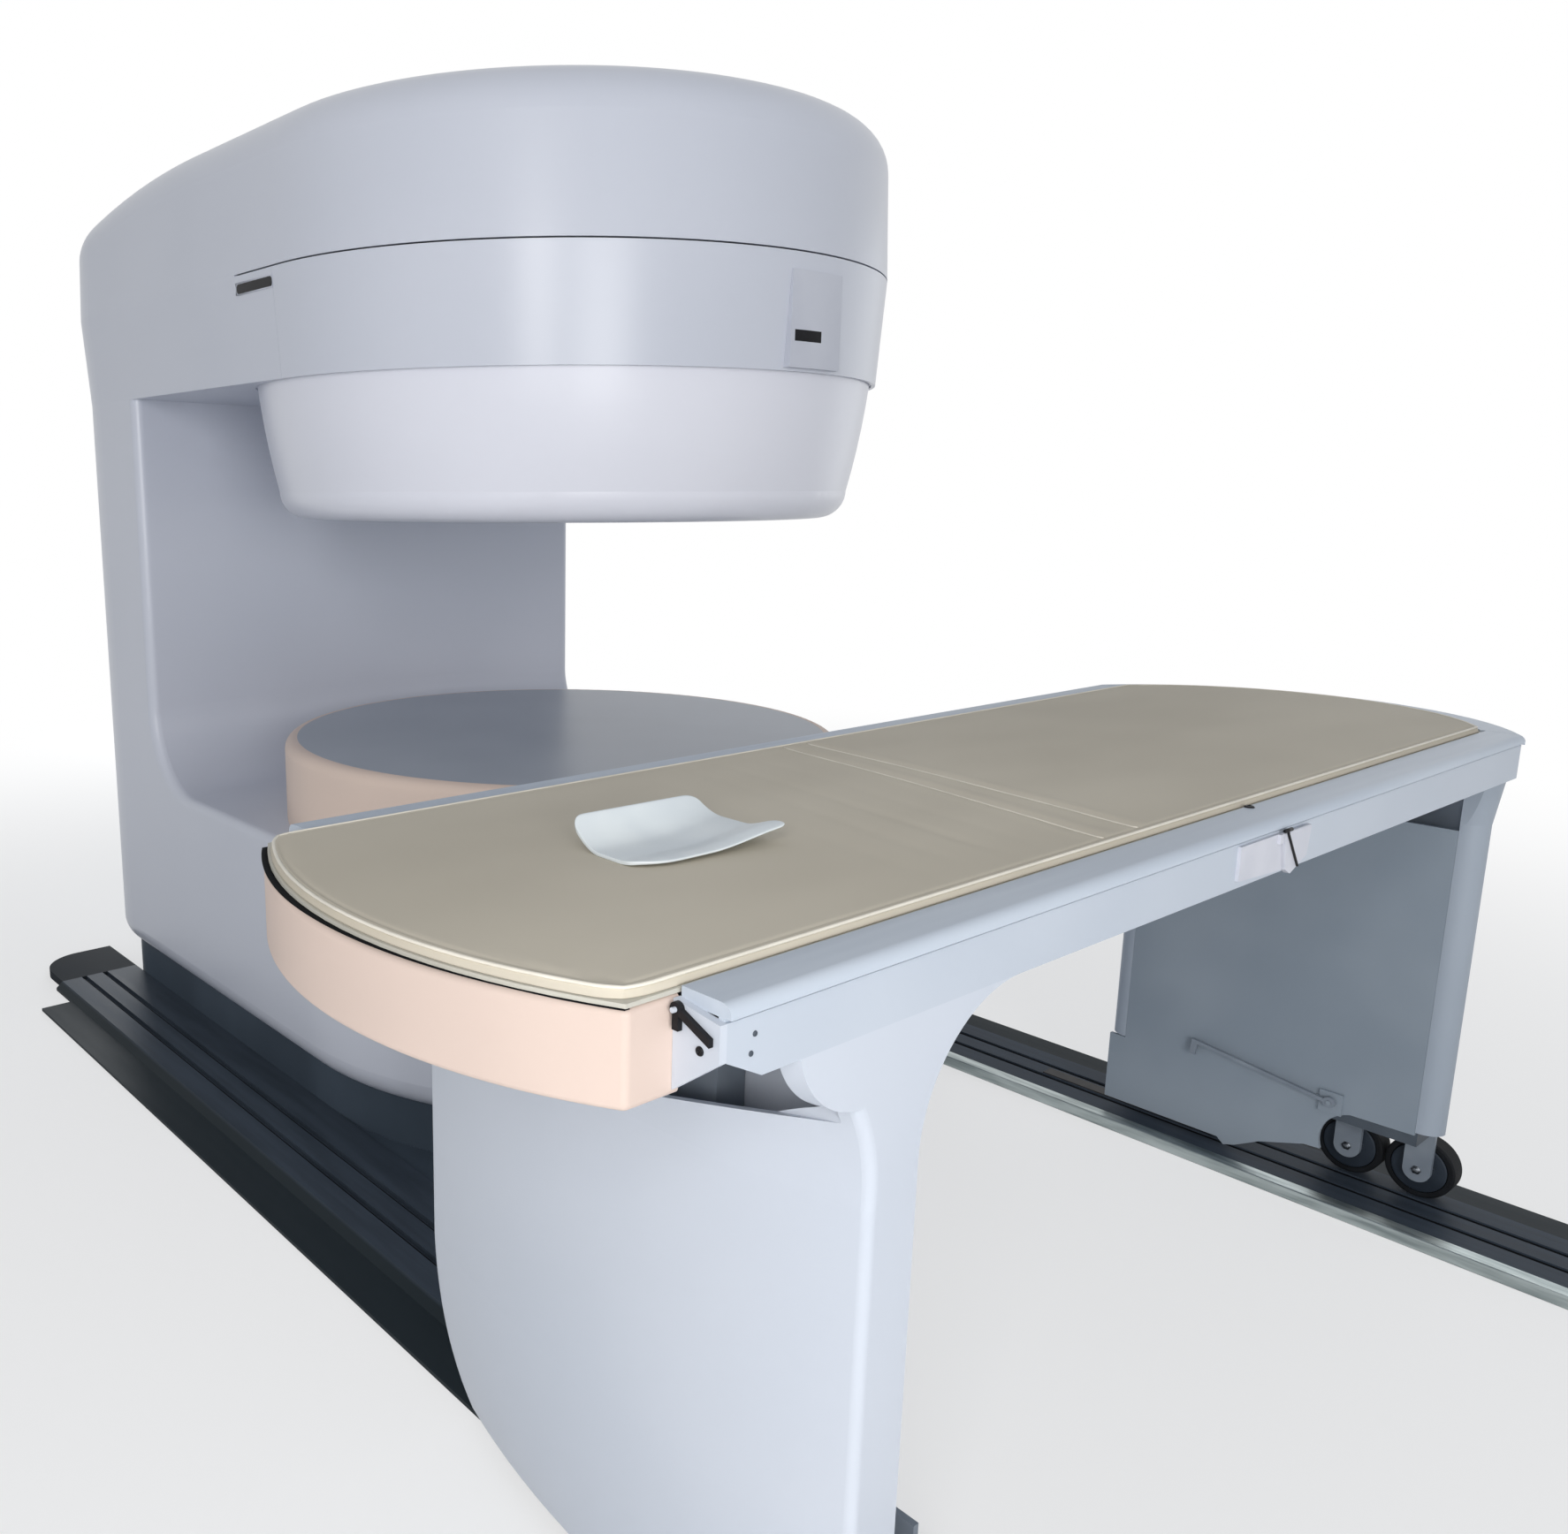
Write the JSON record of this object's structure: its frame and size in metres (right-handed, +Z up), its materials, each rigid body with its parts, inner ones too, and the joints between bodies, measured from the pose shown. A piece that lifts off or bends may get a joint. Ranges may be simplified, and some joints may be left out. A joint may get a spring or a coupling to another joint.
{
  "type": "open mri scanner",
  "caption": "Open medical scanner: a C-shaped magnet gantry with two round poles, and a padded patient table on a wheeled bridge that rolls along floor rails into the gap.",
  "frame": {"origin": "on the floor, on the upright axis through the middles of the two poles", "axes": "+Z up; +Y along the floor rails, from the table towards the gantry's column; +X along the table, from its head end towards its foot end"},
  "size_m": [2.292, 3.374, 2.037],
  "materials": {
    "gantry_white": "satin moulded cover, light grey white",
    "pole_white": "satin moulded cover, white",
    "pole_peach": "satin moulded cover, pale peach",
    "disc_grey": "matt laminate, mid grey",
    "panel_grey": "matt plate, light grey",
    "dark_window": "glossy black window",
    "rail_slate": "satin dark slate paint",
    "plinth_slate": "satin dark slate paint",
    "iron": "painted iron",
    "magnet": "plated sintered magnet blocks",
    "coil": "resin cast over copper",
    "table_white": "satin moulded cover, bluish white",
    "table_alu": "powder coated aluminium",
    "bumper_peach": "soft-touch moulding, pale peach",
    "strip": "low friction strip",
    "steel": "steel",
    "fork_grey": "satin grey paint",
    "tread": "hard black tread",
    "board": "carbon and foam board with a light skin",
    "pad": "beige vinyl",
    "rest_white": "smooth white shell",
    "lever_white": "white plastic",
    "black": "black plastic",
    "pedal_grey": "grey paint"
  },
  "bodies": {
    "gantry": {"floor_rail_left": "rail_slate", "floor_rail_right": "rail_slate", "rail_end_cap_left": "rail_slate", "rail_end_cap_right": "rail_slate", "plinth": "plinth_slate", "main_cover": "gantry_white", "front_band": "gantry_white", "arm_cover": "gantry_white", "crown_cover": "gantry_white", "upper_pole_cover": "pole_white", "lower_pole_cover": "pole_peach", "lower_pole_top": "disc_grey", "control_panel": "panel_grey", "panel_window": "dark_window", "side_window_left": "dark_window", "side_window_right": "dark_window", "yoke_lower_arm": "iron", "yoke_upper_arm": "iron", "yoke_column": "iron", "lower_magnet": "magnet", "lower_pole_piece": "iron", "lower_gradient_coil": "coil", "upper_magnet": "magnet", "upper_pole_piece": "iron", "upper_gradient_coil": "coil"},
    "table bridge": {"table_frame": "table_alu", "frame_end_cap": "table_white", "end_bumper": "bumper_peach", "side_rail_near": "table_alu", "side_rail_far": "table_alu", "guide_strip_near": "strip", "guide_strip_far": "strip", "left_leg": "table_white", "left_carriage": "steel", "right_leg_cover": "table_white", "right_leg_panel": "table_white", "right_post": "steel", "lock_plate": "table_white", "corner_block": "table_white", "wheel_fork_left_near": "fork_grey", "wheel_fork_left_far": "fork_grey", "wheel_fork_right_near": "fork_grey", "wheel_fork_right_far": "fork_grey"},
    "sliding board": {"patient_board": "board", "board_end_trim": "table_white", "mattress": "pad", "headrest": "rest_white", "board_runner_near": "strip", "board_runner_far": "strip"},
    "wheel left near 1": {"wheel_left_near_1": "tread"},
    "wheel left near 2": {"wheel_left_near_2": "tread"},
    "wheel left far 1": {"wheel_left_far_1": "tread"},
    "wheel left far 2": {"wheel_left_far_2": "tread"},
    "wheel right near 1": {"wheel_right_near_1": "tread"},
    "wheel right near 2": {"wheel_right_near_2": "tread"},
    "wheel right far 1": {"wheel_right_far_1": "tread"},
    "wheel right far 2": {"wheel_right_far_2": "tread"},
    "release lever": {"release_lever": "lever_white"},
    "corner latch": {"corner_latch": "black"},
    "brake pedal": {"brake_pedal": "pedal_grey"}
  },
  "joints": [
    {"name": "bridge travel", "type": "slide", "parent": "gantry", "child": "table bridge", "axis": [0, 1, 0], "range_m": [-0.2, 1.33]},
    {"name": "board travel", "type": "slide", "parent": "table bridge", "child": "sliding board", "axis": [1, 0, 0], "range_m": [0, 0.85]},
    {"name": "wheel left near 1 spin", "type": "hinge", "parent": "table bridge", "child": "wheel left near 1", "pos_m": [-0.815, -1.578, 0.0803], "axis": [1, 0, 0], "range_deg": [-1325, 205]},
    {"name": "wheel left near 2 spin", "type": "hinge", "parent": "table bridge", "child": "wheel left near 2", "pos_m": [-0.815, -1.459, 0.0803], "axis": [1, 0, 0], "range_deg": [-1325, 205]},
    {"name": "wheel left far 1 spin", "type": "hinge", "parent": "table bridge", "child": "wheel left far 1", "pos_m": [-0.815, -1.062, 0.0803], "axis": [1, 0, 0], "range_deg": [-1325, 205]},
    {"name": "wheel left far 2 spin", "type": "hinge", "parent": "table bridge", "child": "wheel left far 2", "pos_m": [-0.815, -1.181, 0.0803], "axis": [1, 0, 0], "range_deg": [-1325, 205]},
    {"name": "wheel right near 1 spin", "type": "hinge", "parent": "table bridge", "child": "wheel right near 1", "pos_m": [0.815, -1.578, 0.0803], "axis": [1, 0, 0], "range_deg": [-1325, 205]},
    {"name": "wheel right near 2 spin", "type": "hinge", "parent": "table bridge", "child": "wheel right near 2", "pos_m": [0.815, -1.459, 0.0803], "axis": [1, 0, 0], "range_deg": [-1325, 205]},
    {"name": "wheel right far 1 spin", "type": "hinge", "parent": "table bridge", "child": "wheel right far 1", "pos_m": [0.815, -1.062, 0.0803], "axis": [1, 0, 0], "range_deg": [-1325, 205]},
    {"name": "wheel right far 2 spin", "type": "hinge", "parent": "table bridge", "child": "wheel right far 2", "pos_m": [0.815, -1.181, 0.0803], "axis": [1, 0, 0], "range_deg": [-1325, 205]},
    {"name": "release lever pivot", "type": "hinge", "parent": "table bridge", "child": "release lever", "pos_m": [-0.2, -1.6825, 0.9185], "axis": [-1, 0, 0], "range_deg": [0, 25], "stiffness_Nm_per_rad": 0.05},
    {"name": "corner latch pivot", "type": "hinge", "parent": "table bridge", "child": "corner latch", "pos_m": [-1.2155, -1.634, 0.926], "axis": [-1, 0, 0], "range_deg": [0, 75]},
    {"name": "brake pedal pivot", "type": "hinge", "parent": "table bridge", "child": "brake pedal", "pos_m": [0.688, -1.452, 0.197], "axis": [-1, 0, 0], "range_deg": [0, 12], "stiffness_Nm_per_rad": 3, "springref_deg": -8.59}
  ],
  "couplings": [
    {"joint": "wheel left near 1 spin", "follows": "bridge travel", "rad_per_m": -17.241},
    {"joint": "wheel left near 2 spin", "follows": "bridge travel", "rad_per_m": -17.241},
    {"joint": "wheel left far 1 spin", "follows": "bridge travel", "rad_per_m": -17.241},
    {"joint": "wheel left far 2 spin", "follows": "bridge travel", "rad_per_m": -17.241},
    {"joint": "wheel right near 1 spin", "follows": "bridge travel", "rad_per_m": -17.241},
    {"joint": "wheel right near 2 spin", "follows": "bridge travel", "rad_per_m": -17.241},
    {"joint": "wheel right far 1 spin", "follows": "bridge travel", "rad_per_m": -17.241},
    {"joint": "wheel right far 2 spin", "follows": "bridge travel", "rad_per_m": -17.241}
  ]
}
